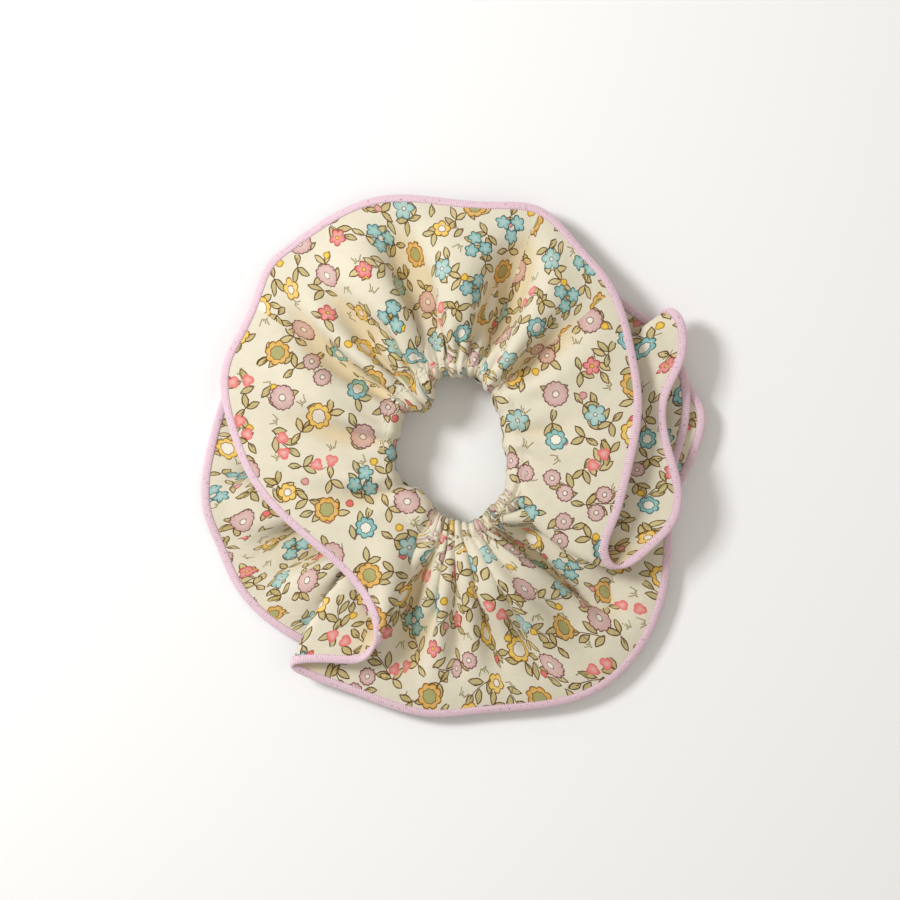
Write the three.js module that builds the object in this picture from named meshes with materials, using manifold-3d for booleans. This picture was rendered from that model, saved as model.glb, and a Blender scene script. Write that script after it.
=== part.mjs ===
// Ruffled scrunchie: two plies of printed cotton sewn into a casing round a flat elastic, with a
// front and a back ruffle whose edges are overlocked. It lies on its back ruffle, hair hole upwards.
// The two sides, left and right of X = 0, slide apart as the elastic is pulled open.
import * as THREE from 'three';
import { mergeVertices } from 'three/addons/utils/BufferGeometryUtils.js';
import Module from 'manifold-3d';

const wasm = await Module();
wasm.setup();

// Overall sizes, millimetres
const holeWidth = 34;        // hair hole along X, elastic relaxed
const holeLength = 42;       // hair hole along Y
const ruffleReach = 59.5;    // hole edge to ruffle edge
const restHeight = 19.5;     // top of the front ruffle's crest above the table

// Cloth, elastic and threads
const clothThickness = 0.6;  // one ply as it lies in the ruffles
const gatherThickness = 1.6; // one ply where it is ruched along the casing
const elasticWidth = 6;
const elasticThickness = 0.8;
const elasticMid = 10.5;     // height of the elastic's centre line
const lapLength = 12;        // the elastic's ends overlap by this much
const stitchThickness = 0.4; // zigzag thread that joins the elastic's ends
const stitchPitch = 2;
const stitchWidth = 4;
const rowThread = 0.8;       // casing stitch row, as tall as this between the plies
const seamThread = 0.5;      // thread of the seams across the strip
const overlockWidth = 2.6;   // how far the overlock threads reach in from the edge
const overlockWall = 0.6;
const clearance = 0.3;       // between pieces that touch

// Shape of the ruffles, as distances out from the hole's edge and heights above the table
const crestOut = 25;
const frontLipHeight = 11;
const restWidth = 6.6;       // the back ruffle lies on the table this far in from its overlock
const shoulderPast = 2;      // the ruffles leave the casing this far beyond its outer ply

// Where the strip's two lengths are seamed together, degrees anticlockwise from +X
const topSeam = 71;
const leftSeam = 203;

const roundSteps = 48;
const cutReach = 2 * (Math.max(holeWidth, holeLength) + ruffleReach);

// The channel between the plies holds the elastic, its lapped end and the zigzag stitch.
const elasticOut = gatherThickness + clearance;
const lapOut = elasticOut + elasticThickness + clearance;
const stitchOut = lapOut + elasticThickness + clearance;
const outerPlyOut = stitchOut + stitchThickness + clearance;
const shoulderOut = outerPlyOut + gatherThickness + shoulderPast;

const rowLow = elasticWidth / 2 + clearance;
const casingHalf = rowLow + rowThread + clearance + clothThickness;
const frontTop = elasticMid + casingHalf;
const backBottom = elasticMid - casingHalf;

// The plies end inside the overlock, which stands around them with a clearance all round.
const lipOut = ruffleReach - overlockWall - clearance;
const bendOut = ruffleReach - overlockWidth - clearance;
const restOut = bendOut - restWidth;
const pliesHeight = 2 * clothThickness + clearance;
const backLipHeight = overlockWall + clearance;

const print = { color: 0xf1ead2, roughness: 0.85, metalness: 0 };
const pinkThread = { color: 0xe8c4dc, roughness: 0.7, metalness: 0 };
const creamThread = { color: 0xe9e0c6, roughness: 0.75, metalness: 0 };
const whiteElastic = { color: 0xf4f2ee, roughness: 0.6, metalness: 0 };

const scrunchie = new THREE.Group();

const add = (name, solid, look) => {
  const mesh = new THREE.Mesh(toGeometry(solid), new THREE.MeshStandardMaterial(look));
  mesh.name = name;
  scrunchie.add(mesh);
};

function toSolid(geometry) {
  geometry.deleteAttribute('normal');
  geometry.deleteAttribute('uv');
  const merged = mergeVertices(geometry);
  const vertProperties = new Float32Array(merged.attributes.position.array);
  const triVerts = new Uint32Array(merged.index.array);
  return new wasm.Manifold(new wasm.Mesh({ numProp: 3, vertProperties, triVerts }));
}

function toGeometry(solid) {
  const mesh = solid.getMesh();
  const geometry = new THREE.BufferGeometry();
  geometry.setAttribute('position', new THREE.BufferAttribute(mesh.vertProperties, 3));
  geometry.setIndex(new THREE.BufferAttribute(mesh.triVerts, 1));
  return geometry;
}

// A point that stands `out` from the hole's edge at an angle, seen from the hole's centre
const onOval = (out, angle) => [
  (holeWidth / 2 + out) * Math.cos(angle),
  (holeLength / 2 + out) * Math.sin(angle),
];

// A closed ring round the hole. The section is a list of [out, height], anticlockwise.
function ovalRing(section) {
  const points = [...section, section[0]].map(([out, height]) => new THREE.Vector2(out + 1, height));
  const geometry = new THREE.LatheGeometry(points, roundSteps).rotateX(Math.PI / 2);
  const position = geometry.attributes.position;
  for (let i = 0; i < position.count; i++) {
    const x = position.getX(i);
    const y = position.getY(i);
    const [ovalX, ovalY] = onOval(Math.hypot(x, y) - 1, Math.atan2(y, x));
    position.setXY(i, ovalX, ovalY);
  }
  return toSolid(geometry);
}

// A flat patch, drawn along X with its height along Y and its thickness along Z, laid on the oval
// at an angle
function onCasing(geometry, out, angle) {
  const radius = Math.hypot(...onOval(out, angle));
  const position = geometry.attributes.position;
  for (let i = 0; i < position.count; i++) {
    const turned = angle + position.getX(i) / radius;
    const [x, y] = onOval(out + position.getZ(i), turned);
    position.setXYZ(i, x, y, elasticMid + position.getY(i));
  }
  return toSolid(geometry);
}

const rectangle = (out, low, width, height) => [
  [out, low],
  [out + width, low],
  [out + width, low + height],
  [out, low + height],
];

// One half of a ring, left (side -1) or right (side 1), kept half a clearance back from X = 0
function halfOf(solid, side) {
  const box = new THREE.BoxGeometry(cutReach, 2 * cutReach, 4 * restHeight);
  box.translate(side * (cutReach / 2 + clearance / 2), 0, 0);
  return solid.intersect(toSolid(box));
}

// The stretch of a ring between two angles, each end set back by its own margin with parallel sides
function stretchOf(solid, from, to, fromMargin, toMargin) {
  const start = THREE.MathUtils.degToRad(from);
  const end = THREE.MathUtils.degToRad(to);
  const across = Math.sin(end - start);
  const along = (fromMargin * Math.cos(end - start) + toMargin) / across;
  const apex = new THREE.Vector2(
    along * Math.cos(start) - fromMargin * Math.sin(start),
    along * Math.sin(start) + fromMargin * Math.cos(start),
  );
  const corners = [apex];
  for (const part of [0, 0.25, 0.5, 0.75, 1]) {
    const angle = start + part * (end - start);
    corners.push(new THREE.Vector2(Math.cos(angle), Math.sin(angle)).multiplyScalar(cutReach).add(apex));
  }
  const wedge = new THREE.ExtrudeGeometry(new THREE.Shape(corners), {
    depth: 4 * restHeight,
    bevelEnabled: false,
  });
  wedge.translate(0, 0, -2 * restHeight);
  return solid.intersect(toSolid(wedge));
}

// The slice of a ring that lies along one seam
function seamOf(solid, angle) {
  const slab = new THREE.BoxGeometry(cutReach, seamThread, 4 * restHeight);
  slab.translate(cutReach / 2, 0, 0);
  slab.rotateZ(THREE.MathUtils.degToRad(angle));
  return solid.intersect(toSolid(slab));
}

// The front ruffle's line, from its edge in to the casing, lowered from the cloth's top face
const frontLeg = (drop) => [
  [lipOut, frontLipHeight - drop],
  [bendOut, frontLipHeight - drop],
  [crestOut, restHeight - drop],
  [shoulderOut, frontTop - drop],
];

// The back ruffle's line, from the casing out to its edge, raised from the cloth's bottom face
const backLeg = (rise) => [
  [shoulderOut, backBottom + rise],
  [restOut, rise],
  [bendOut - clearance, rise],
  [bendOut, backLipHeight + rise],
  [lipOut, backLipHeight + rise],
];

// A ply is one cloth from the front edge, round the casing, to the back edge. `inset` is how far its
// outer face lies inside the hair side's face, and `wallOut` where it stands in the casing.
function plySection(inset, wallOut) {
  const inner = inset + clothThickness;
  const innerWall = wallOut + gatherThickness;
  return [
    ...frontLeg(inset),
    [wallOut, frontTop - inset],
    [wallOut, backBottom + inset],
    ...backLeg(inset),
    ...backLeg(inner).reverse(),
    [innerWall, backBottom + inner],
    [innerWall, frontTop - inner],
    ...frontLeg(inner).reverse(),
  ];
}

// The overlock threads wrap the edges of both plies, as a channel open towards the casing.
function overlockSection(low) {
  const height = pliesHeight + 2 * (overlockWall + clearance);
  const start = ruffleReach - overlockWidth;
  return [
    [start, low],
    [ruffleReach, low],
    [ruffleReach, low + height],
    [start, low + height],
    [start, low + height - overlockWall],
    [ruffleReach - overlockWall, low + height - overlockWall],
    [ruffleReach - overlockWall, low + overlockWall],
    [start, low + overlockWall],
  ];
}

// Printed cotton: each ply is a long and a short length of strip, joined by the two cross seams.
const seamMargin = seamThread / 2 + clearance;
const sideMargin = clearance / 2;
const stretches = [
  ['long', 'left', leftSeam, 270, seamMargin, sideMargin],
  ['long', 'right', -90, topSeam, sideMargin, seamMargin],
  ['short', 'right', topSeam, 90, seamMargin, sideMargin],
  ['short', 'left', 90, leftSeam, sideMargin, seamMargin],
];
const plies = {
  hair_ply: ovalRing(plySection(0, 0)),
  outer_ply: ovalRing(plySection(clothThickness + clearance, outerPlyOut)),
};
for (const [ply, ring] of Object.entries(plies)) {
  for (const [length, side, from, to, fromMargin, toMargin] of stretches) {
    add(`${ply}_${length}_${side}`, stretchOf(ring, from, to, fromMargin, toMargin), print);
  }
  add(`${ply}_seam_top`, seamOf(ring, topSeam), creamThread);
  add(`${ply}_seam_left`, seamOf(ring, leftSeam), creamThread);
}

// Elastic, casing stitch rows and overlocked edges, each in a left and a right half
const rowWidth = outerPlyOut - elasticOut - clearance;
const rings = [
  ['elastic', rectangle(elasticOut, elasticMid - elasticWidth / 2, elasticThickness, elasticWidth),
    whiteElastic],
  ['casing_row_front', rectangle(elasticOut, elasticMid + rowLow, rowWidth, rowThread), creamThread],
  ['casing_row_back', rectangle(elasticOut, elasticMid - rowLow - rowThread, rowWidth, rowThread),
    creamThread],
  ['overlock_front', overlockSection(frontLipHeight - pliesHeight - overlockWall - clearance),
    pinkThread],
  ['overlock_back', overlockSection(0), pinkThread],
];
for (const [name, section, look] of rings) {
  const ring = ovalRing(section);
  add(`${name}_left`, halfOf(ring, -1), look);
  add(`${name}_right`, halfOf(ring, 1), look);
}

// The elastic's lapped end lies on the elastic at the left seam, held by a zigzag stitch.
const joinAngle = THREE.MathUtils.degToRad(leftSeam);
const lap = new THREE.BoxGeometry(lapLength, elasticWidth, elasticThickness, 6, 1, 1);
lap.translate(0, 0, elasticThickness / 2);
add('elastic_lapped_end', onCasing(lap, lapOut, joinAngle), whiteElastic);

const turns = Math.floor(lapLength / stitchPitch) - 1;
const zigzagLine = Array.from({ length: turns + 1 }, (_, i) => [
  (i - turns / 2) * stitchPitch,
  (i % 2 ? 0.5 : -0.5) * stitchWidth,
]);
const zigzagEdge = (rise) => zigzagLine.map(([x, y]) => new THREE.Vector2(x, y + rise));
const zigzag = new THREE.ExtrudeGeometry(
  new THREE.Shape([...zigzagEdge(-stitchThickness), ...zigzagEdge(stitchThickness).reverse()]),
  { depth: stitchThickness, bevelEnabled: false },
);
add('elastic_join_stitch', onCasing(zigzag, stitchOut, joinAngle), creamThread);

export default scrunchie;
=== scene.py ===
# Ruffled scrunchie in floral cotton lawn, lying flat. The scene is in metres, in the frame of the
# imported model; the outlines and sizes below are in millimetres, turned to metres where they are used.
import bpy
import math
import numpy as np
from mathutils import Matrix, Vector


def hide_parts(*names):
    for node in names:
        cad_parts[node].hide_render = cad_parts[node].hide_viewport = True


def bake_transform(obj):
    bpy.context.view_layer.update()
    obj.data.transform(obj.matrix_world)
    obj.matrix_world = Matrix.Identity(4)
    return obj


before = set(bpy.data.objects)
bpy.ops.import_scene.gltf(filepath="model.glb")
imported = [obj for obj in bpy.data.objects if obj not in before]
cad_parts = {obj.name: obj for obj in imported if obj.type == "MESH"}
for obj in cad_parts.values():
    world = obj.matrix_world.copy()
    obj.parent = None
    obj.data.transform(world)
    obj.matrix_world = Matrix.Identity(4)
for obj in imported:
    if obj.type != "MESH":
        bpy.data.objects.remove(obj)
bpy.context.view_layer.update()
mm = 0.001


# A smooth closed curve through the rows of points: the periodic cubic spline whose knots stand a
# chord apart, so that tight turns stay tight.
def closedSpline(points):
    chord = np.linalg.norm(np.roll(points[:, :3], -1, axis=0) - points[:, :3], axis=1)
    count = len(points)
    before = np.roll(chord, 1)
    slope = (np.roll(points, -1, axis=0) - points) / chord[:, None]
    matrix = np.zeros((count, count))
    here = np.arange(count)
    matrix[here, here] = 2 * (before + chord)
    matrix[here, (here - 1) % count] += before
    matrix[here, (here + 1) % count] += chord
    bend = np.linalg.solve(matrix, 6 * (slope - np.roll(slope, 1, axis=0)))
    knots = np.concatenate([[0], np.cumsum(chord)])

    def at(where):
        where = where % knots[-1]
        i = np.clip(np.searchsorted(knots, where, side="right") - 1, 0, count - 1)
        step = chord[i][:, None]
        t = ((where - knots[i]) / chord[i])[:, None]
        a, b = points[i], points[(i + 1) % count]
        bendA, bendB = bend[i], bend[(i + 1) % count]
        return (a * (1 - t) + b * t
                - step ** 2 / 6 * (bendA * (1 - t) * (1 - (1 - t) ** 2) + bendB * t * (1 - t ** 2)))

    return at, knots[-1]


# Samples of a closed spline that stand equally far apart along it
def evenAlong(points, count):
    at, length = closedSpline(points)
    fine = np.linspace(0, length, 20 * count + 1)
    path = at(fine)
    walked = np.concatenate([[0], np.cumsum(np.linalg.norm(np.diff(path[:, :3], axis=0), axis=1))])
    where = np.interp(np.arange(count) / count * walked[-1], walked, fine)
    return at(where), walked[-1]


# A closed row smoothed by a bell curve that is width samples wide
def smoothRow(row, width):
    count = len(row)
    far = np.minimum(np.arange(count), count - np.arange(count))
    bell = np.exp(-0.5 * (far / width) ** 2)
    bell /= bell.sum()
    weight = np.fft.fft(bell).reshape(-1, *[1] * (row.ndim - 1))
    return np.real(np.fft.ifft(np.fft.fft(row, axis=0) * weight, axis=0))


# Vectors made one unit long
def unit(vectors):
    return vectors / np.maximum(np.linalg.norm(vectors, axis=-1, keepdims=True), 1e-9)


# How far each angle lies from a place in degrees, between -180 and 180
def degreesFrom(angle, place):
    return (np.degrees(angle) - place + 180) % 360 - 180


# The strip of cloth, in millimetres: its length round the ring, its grid of columns round the ring
# and rows from casing to edge, the thickness of a ply, the gap between the plies, and how low it lies
strip = {"length": 700, "columns": 720, "rows": 44, "ply": 0.25, "gap": 0.1, "lowest": 0.7}

# The hair hole and the casing's own ring, as half widths and heights
ring = {"centre": (0.6, 1.7), "across": 20.6, "along": 25.8, "front": 15.0, "back": 6.0,
        "seamTop": 71, "seamLeft": 203}


# A place that stands out from the ring, at a height
def ringPlace(angle, out, up):
    return np.stack([ring["centre"][0] + (ring["across"] + out) * np.cos(angle),
                     ring["centre"][1] + (ring["along"] + out) * np.sin(angle), up + 0 * angle], axis=-1)


# One row for each place along the front edge, clockwise from the left: x, y and height of the edge,
# the angle in degrees where the cloth there leaves the casing, then how far its middle is lifted
# and shifted in x and y. It is laid in a wide double fold at the right and one at the lower left.
frontEdge = [
    (-64, 38, 8, -208, 5, 0, 0),
    (-59, 50, 6, -218, 7, 0, 0),
    (-55, 59, 5.5, -226, 7, 0, 0),
    (-50.5, 63, 5, -230, 7, 0, 0),
    (-21.5, 78.5, 6, -254, 6, 0, 0),
    (-0.5, 77.5, 7, -269, 7, 0, 0),
    (14.5, 76.5, 8, -280, 6, 0, 0),
    (25.5, 75.5, 8, -289, 6, 0, 0),
    (39, 63, 10, -302, 7, 0, 0),
    (47, 53.5, 12, -311, 7, 0, 0),
    (55, 29, 16, -330, 5, 0, 0),
    (56.5, 17, 18, -341, 4, 0, 0),
    (52.5, -7.5, 19, -363, 2, 0, -3),
    (49, -19.5, 18, -376, 2, -2, -7),
    (46.5, -29, 16.5, -388, 2, -5, -12),
    (49, -33, 14.5, -392, 0, -5, -12),
    (61.5, -26.5, 12.5, -396, -3, 0, 0),
    (67.5, -19.5, 12.5, -397, -3, 0, 4),
    (69, -12, 13, -398, -3, 0, 6),
    (67, -2, 13.5, -399, -3, 0, 8),
    (64.5, 17, 13, -401, -3, 0, 12),
    (70, 30, 12, -403, -3, 0, 17),
    (70.5, 37.5, 11.5, -404, -3, 0, 20),
    (68.5, 43, 10.5, -405, -4, 0, 22),
    (65.5, 44.5, 8.5, -406, -5, 0, 20),
    (65.5, 40.5, 7, -407, -5, 0, 16),
    (70.5, 26.5, 7, -409, -4, 0, 6),
    (71, 8, 7, -411, -4, 0, 0),
    (68.5, -1, 6.5, -412, -3, 0, 0),
    (64.5, -43.5, 4.5, -419, 2, 0, 0),
    (45, -71, 4.5, -430, 5, 0, 0),
    (8.5, -78, 4.5, -447, 6, 0, 0),
    (-6.5, -79, 4.5, -454, 5, 0, 0),
    (-32.5, -71, 5, -464, 3, -3, 4),
    (-44.5, -66.5, 6, -467, 2, -10, 14),
    (-48.5, -64, 7.5, -469, 1, -12, 18),
    (-35.5, -62, 11, -472, 3, -6, 8),
    (-27, -61.5, 12.5, -474, 1, 0, 3),
    (-23.5, -57.5, 15, -477, 0, 2, 0),
    (-26, -43, 15, -486, 3, 0, 0),
    (-37, -30.5, 14, -497, 5, 0, 0),
    (-61, -6, 11.5, -526, 5, 0, 0),
    (-66, 6, 10.5, -538, 5, 0, 0),
    (-68.5, 28.5, 9, -559, 5, 0, 0),
]

# The same for the back edge, which lies on the table under the front ruffle and shows at the left
# and at the right; anticlockwise from the left, so that both ruffles' hair side faces outwards
backEdge = [
    (-69.5, 18.5, 2, -195, 0, 0, 0),
    (-73.5, 5, 2, -184, 0, 0, 0),
    (-75, -18, 3, -165, 0, 0, 0),
    (-71.5, -27, 2, -157, 0, 0, 0),
    (-67, -37.5, 2, -148, 0, 0, 0),
    (-35.5, -60.5, 2, -122, 0, 0, 0),
    (-21.5, -64, 1.5, -112, 0, 0, 0),
    (-6.5, -71, 2.5, -99, 0, 0, 0),
    (8.5, -71, 1.5, -86, 0, 0, 0),
    (24, -70.5, 2.5, -74, 0, 0, 0),
    (39, -65.5, 1.5, -60, 0, 0, 0),
    (50.5, -56, 2.5, -48, 0, 0, 0),
    (58.5, -40.5, 1.5, -36, 0, 0, 0),
    (61, -27, 3, -28, 0, 0, 0),
    (70, -8.5, 5, -13, 0, 0, 0),
    (76, 6.5, 5.5, -1, 0, 0, 0),
    (76.5, 14, 5.5, 5, 0, 0, 0),
    (73, 20.5, 5, 11, 0, 0, 0),
    (65.5, 36, 4, 23, 0, 0, 0),
    (51, 48.5, 4, 39, 0, 0, 0),
    (42, 59, 2, 49, 0, 0, 0),
    (31.5, 67, 3, 60, 0, 0, 0),
    (19, 71, 1.5, 72, 0, 0, 0),
    (4, 73, 3, 86, 0, 0, 0),
    (-9.5, 73.5, 1.5, 97, 0, 0, 0),
    (-23, 72.5, 3, 108, 0, 0, 0),
    (-35.5, 68, 1.5, 118, 0, 0, 0),
    (-46, 59, 3, 130, 0, 0, 0),
    (-55.5, 47.5, 1.5, 142, 0, 0, 0),
    (-62.5, 33.5, 3, 154, 0, 0, 0),
]


# Broad folds that the front ruffle lies in: the angle, its spread in degrees, how high it stands (or
# how deep it dips) in millimetres, and the depths of cloth, from casing to edge, where it fades out
creases = [(160, 8, 2.6, 0.1, 0.8), (146, 5, -4.0, -0.2, 0.7), (233, 6, 2.8, 0.1, 0.9),
           (246, 5, -4.5, -0.2, 0.95), (33, 7, 2.2, 0.1, 0.7), (47, 5, -3.6, -0.2, 0.6),
           (-33, 5, -3.0, -0.2, 0.6), (118, 5, 2.4, 0.1, 0.9), (167, 3, 2.2, -0.2, 0.75),
           (175, 2.6, -3.0, -0.3, 0.8), (198, 4, 2.2, -0.2, 0.6), (209, 3, -2.8, -0.2, 0.75),
           (12, 3, -2.4, -0.2, 0.65), (4, 2.5, 2.0, -0.3, 0.5), (-17, 3, 2.2, -0.2, 0.7)]


# The guide of a ruffle, before it is pleated: each column is a bow with three controls, on the
# casing's ring, in the middle and on the edge. Returns points[column, row], each column's angle, and
# from 0 to 1 how flat it is laid in a fold, where the middle is shifted and cannot be gathered.
def guideSurface(edge, ringHeight, folds):
    stations = np.array(edge, float)
    turn = np.sign(stations[-1, 3] - stations[0, 3])
    points = stations.copy()
    points[:, 3] = 0
    even, _ = evenAlong(points, strip["columns"])
    knots = np.concatenate([[0], np.cumsum(np.linalg.norm(
        np.diff(np.vstack([stations, stations[:1]])[:, :3], axis=0), axis=1))])
    walked = np.linspace(0, knots[-1], strip["columns"], endpoint=False)
    straight = np.interp(walked, knots, np.append(stations[:, 3], stations[0, 3] + turn * 360))
    around = np.arange(strip["columns"]) / strip["columns"] * turn * 360
    angle = np.radians(smoothRow(straight - around, 6) + around)
    edgeRow = even[:, :3]
    ringRow = ringPlace(angle, 0, ringHeight)
    middle = (ringRow + edgeRow) / 2
    middle += smoothRow(even[:, [5, 6, 4]], 4)
    s = np.linspace(0, 1, strip["rows"])[None, :, None]
    surface = ((1 - s) ** 2 * ringRow[:, None] + 2 * s * (1 - s) * middle[:, None]
               + s ** 2 * edgeRow[:, None])
    for place, spread, height, near, far in folds:
        off = degreesFrom(angle, place)
        depth = np.sin(np.pi * np.clip((s[0, :, 0] - near) / (far - near), 0, 1)) ** 2
        surface[..., 2] += height * np.exp(-(off / spread) ** 2)[:, None] * depth
    laid = np.clip(smoothRow(np.hypot(even[:, 5], even[:, 6]), 6) / 5, 0, 1)
    return surface, angle, laid


def normalsOf(grid):
    along = np.roll(grid, -1, axis=0) - np.roll(grid, 1, axis=0)
    outward = np.gradient(grid, axis=1)
    return unit(np.cross(along, outward))


# How far a grid stands over its own smoothed surface
def riseOver(grid, width):
    broad = smoothRow(grid, width)
    return ((grid - broad) * normalsOf(broad)).sum(axis=2)


# The gathers: the waves they start in (count round the ring, middle and spread over the depth, and
# height), the cloth's fullness from casing to edge, and how it settles
gathers = {
    "waves": [(24, 0.0, 0.06, 1.7), (12, 0.26, 0.2, 7.5), (7, 0.55, 0.22, 5.0), (5, 0.85, 0.2, 1.5)],
    "fullness": (1.7, 2.2, 2.1, 1.7, 1.35, 1.14, 1.02), "fullest": 1.4, "wander": 0.75, "uneven": 0.45,
    "rounds": 320, "link": 0.8, "shear": 0.35, "casingFree": 0.02, "edgeFree": 0.15,
    "hold": 0.0005, "casingHold": (0.125, 0.03), "edgeHold": (0.15, 0.05),
    "fairing": 0.06, "stiffness": 0.05, "outFairing": 0.2, "smoothing": (0.003, 0.012),
}

# How strongly each side is pleated, by the angle in degrees round the hair hole
pleating = [(-180, 0), (-155, 0.02), (-137, 0.1), (-122, 0.25), (-112, 0.9), (-100, 1.4), (-75, 1.4),
            (-55, 1.2), (-38, 0.6), (-22, 0.05), (15, 0), (38, 0.2), (52, 0.7), (75, 0.9), (95, 1.2),
            (112, 1.7), (135, 1.5), (150, 0.5), (162, 0.03), (180, 0)]


def pleatStrength(angle):
    return np.interp(degreesFrom(angle, 0), *np.array(pleating, float).T)


# Waves of cloth that fade into fewer and broader ones away from the casing. Each wave follows the
# angle round the casing, wanders a little, and is higher on some folds than on others.
def pleatSeed(angle, local, seed):
    random = np.random.default_rng(seed)
    s = np.linspace(0, 1, strip["rows"])[None, :]
    columns = strip["columns"]
    place = np.arange(columns) / columns
    turned = (angle - angle[0]) / (2 * np.pi) * np.sign(angle[-1] - angle[0])
    height = np.zeros((columns, strip["rows"]))
    for count, middle, spread, size in gathers["waves"]:
        wander = smoothRow(random.standard_normal(columns), columns / count)
        uneven = smoothRow(random.standard_normal(columns), columns / count / 1.5)
        phase = count * (0.6 * turned + 0.4 * place) + gathers["wander"] * wander / wander.std()
        wave = np.sin(2 * np.pi * (phase + random.uniform()))
        lifted = local * (1 + gathers["uneven"] * uneven / uneven.std())
        height += size * (wave * lifted)[:, None] * np.exp(-0.5 * ((s - middle) / spread) ** 2)
    return height


# Brings both ends of each link nearer to the link's length, each by its share of freedom
def settleLinks(grid, a, b, length, stiffness, free):
    gap = grid[b] - grid[a]
    distance = np.maximum(np.linalg.norm(gap, axis=-1, keepdims=True), 1e-9)
    push = gap * ((distance - length) / distance) * stiffness / (free[a] + free[b])
    grid[a] += push * free[a]
    grid[b] -= push * free[b]


# Cloth that is longer than its guide, held to it, so that it folds into pleats: links along, outwards
# and across keep the cloth's own lengths, a fourth-order term rounds the folds, and each point is
# drawn to the guide, firmly at the casing and along the edge. No point goes below the table.
def relaxRuffle(surface, seedHeight, strength, lowest):
    columns, rows = surface.shape[:2]
    grid = surface + normalsOf(surface) * seedHeight[..., None]
    s = np.linspace(0, 1, rows)
    fullness = np.interp(s, np.linspace(0, 1, len(gathers["fullness"])), gathers["fullness"])
    along = smoothRow(np.linalg.norm(np.roll(surface, -1, axis=0) - surface, axis=2), 3)
    spare = 1 + (fullness - 1) * np.minimum(smoothRow(strength, 8), gathers["fullest"])[:, None]
    wantAlong = np.minimum(along * spare, strip["length"] / columns * 1.02)[..., None]
    wantOut = smoothRow(np.linalg.norm(np.diff(surface, axis=1), axis=2), 4)[..., None]
    wantAcross = np.sqrt(((wantAlong[:, 1:] + wantAlong[:, :-1]) / 2) ** 2 + wantOut ** 2)
    free = np.ones((columns, rows, 1))
    free[:, 0] = gathers["casingFree"]
    free[:, -1] = gathers["edgeFree"]
    nearCasing, casingReach = gathers["casingHold"]
    nearEdge, edgeReach = gathers["edgeHold"]
    hold = (gathers["hold"] + nearCasing * np.exp(-s / casingReach)
            + nearEdge * np.exp(-(1 - s) / edgeReach))[:, None]
    smoothing = (gathers["smoothing"][0] + gathers["smoothing"][1] * s)[:, None]
    stiff = (gathers["stiffness"] * np.clip((s - 0.04) / 0.2, 0, 1))[:, None]
    reach = 2
    every, pairs = slice(None), []
    for start in (0, 1):
        here = np.arange(start, columns, 2)
        there = (here + 1) % columns
        low, high = slice(start, rows - 1, 2), slice(start + 1, rows, 2)
        pairs.append(((here, every), (there, every), wantAlong[here], gathers["link"]))
        pairs.append(((every, low), (every, high), wantOut[:, low], gathers["link"]))
        for first in (0, 1):
            low = np.arange(first, rows - 1, 2)
            want = wantAcross[np.ix_(here, low)]
            pairs.append((np.ix_(here, low), np.ix_(there, low + 1), want, gathers["shear"]))
            pairs.append((np.ix_(here, low + 1), np.ix_(there, low), want, gathers["shear"]))
    for turn in range(gathers["rounds"]):
        for a, b, want, stiffness in pairs:
            settleLinks(grid, a, b, want, stiffness, free)
        bend = np.roll(grid, 1, axis=0) + np.roll(grid, -1, axis=0) - 2 * grid
        grid -= gathers["fairing"] * (np.roll(bend, 1, axis=0) + np.roll(bend, -1, axis=0) - 2 * bend)
        grid += bend * smoothing
        broad = np.roll(grid, reach, axis=0) + np.roll(grid, -reach, axis=0) - 2 * grid
        grid -= (np.roll(broad, reach, axis=0) + np.roll(broad, -reach, axis=0) - 2 * broad) * stiff
        grid[:, 1:-1] += ((grid[:, 2:] + grid[:, :-2]) / 2 - grid[:, 1:-1]) * gathers["outFairing"]
        grid += (surface - grid) * hold
        grid[..., 2] = np.maximum(grid[..., 2], lowest)
    return grid


# The casing's tube round the elastic: its half width and height, how far its cloth puffs between the
# gathers, how far it follows the ruffle's pleats, where (round the tube) the ruffles' stitch rows are,
# and the lobes of it that hang into the hair hole (angle, spread, reach, height)
casing = {"width": 3.4, "height": 4.7, "middle": 10.5, "puff": 0.35, "counts": (29, 37, 47), "follow": 0.75,
          "rows": 9, "front": 84, "back": 276, "drift": ((3, 0.7, 0.7), (8, 2.1, 0.45)),
          "lobes": ((128, 16, 4.7, 0.8), (-128, 24, 3.6, 0.4), (14, 13, 1.6, 0.3)),
          "stitches": 74, "stitch": 1.2, "thread": 0.24}


# The casing's surface: angle goes round the hair hole and turn round the tube, 90 degrees at its top
# and 180 on its hair side. The tube's radius swells in uneven puffs, pinched at both stitch rows.
def casingSurface(angle, turn):
    random = np.random.default_rng(31)
    fine = np.linspace(-np.pi, np.pi, 1441)[:-1]
    puff = np.zeros(len(fine))
    for count in casing["counts"]:
        wander = smoothRow(random.standard_normal(len(fine)), len(fine) / count)
        uneven = smoothRow(random.standard_normal(len(fine)), len(fine) / count)
        swing = np.abs(np.sin(count * fine / 2 + 1.6 * wander / wander.std()))
        puff += swing * (1 + 0.4 * uneven / uneven.std())
    puff = puff / puff.max() - 0.55
    around = (angle + np.pi) % (2 * np.pi) - np.pi
    lifted = np.interp(around, np.append(fine, np.pi), np.append(puff, puff[0]))
    pinched = np.minimum(1, 0.35 + np.abs(np.sin(turn - np.pi / 2)) ** 0.7)
    swell = casing["puff"] * lifted * pinched * np.minimum(1, 0.08 + pleatStrength(around))
    inner = (0.5 - 0.5 * np.cos(turn)) ** 1.5
    drift = sum(size * np.sin(count * around + phase) for count, phase, size in casing["drift"])
    out = (casing["width"] + swell) * np.cos(turn) - drift * inner
    up = casing["middle"] + (casing["height"] + 0.6 * swell) * np.sin(turn)
    for place, spread, reach, height in casing["lobes"]:
        bulge = np.exp(-np.abs(degreesFrom(around, place) / spread) ** 3) * inner
        out -= reach * bulge
        up += height * bulge
    return ringPlace(around, out, up)


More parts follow.
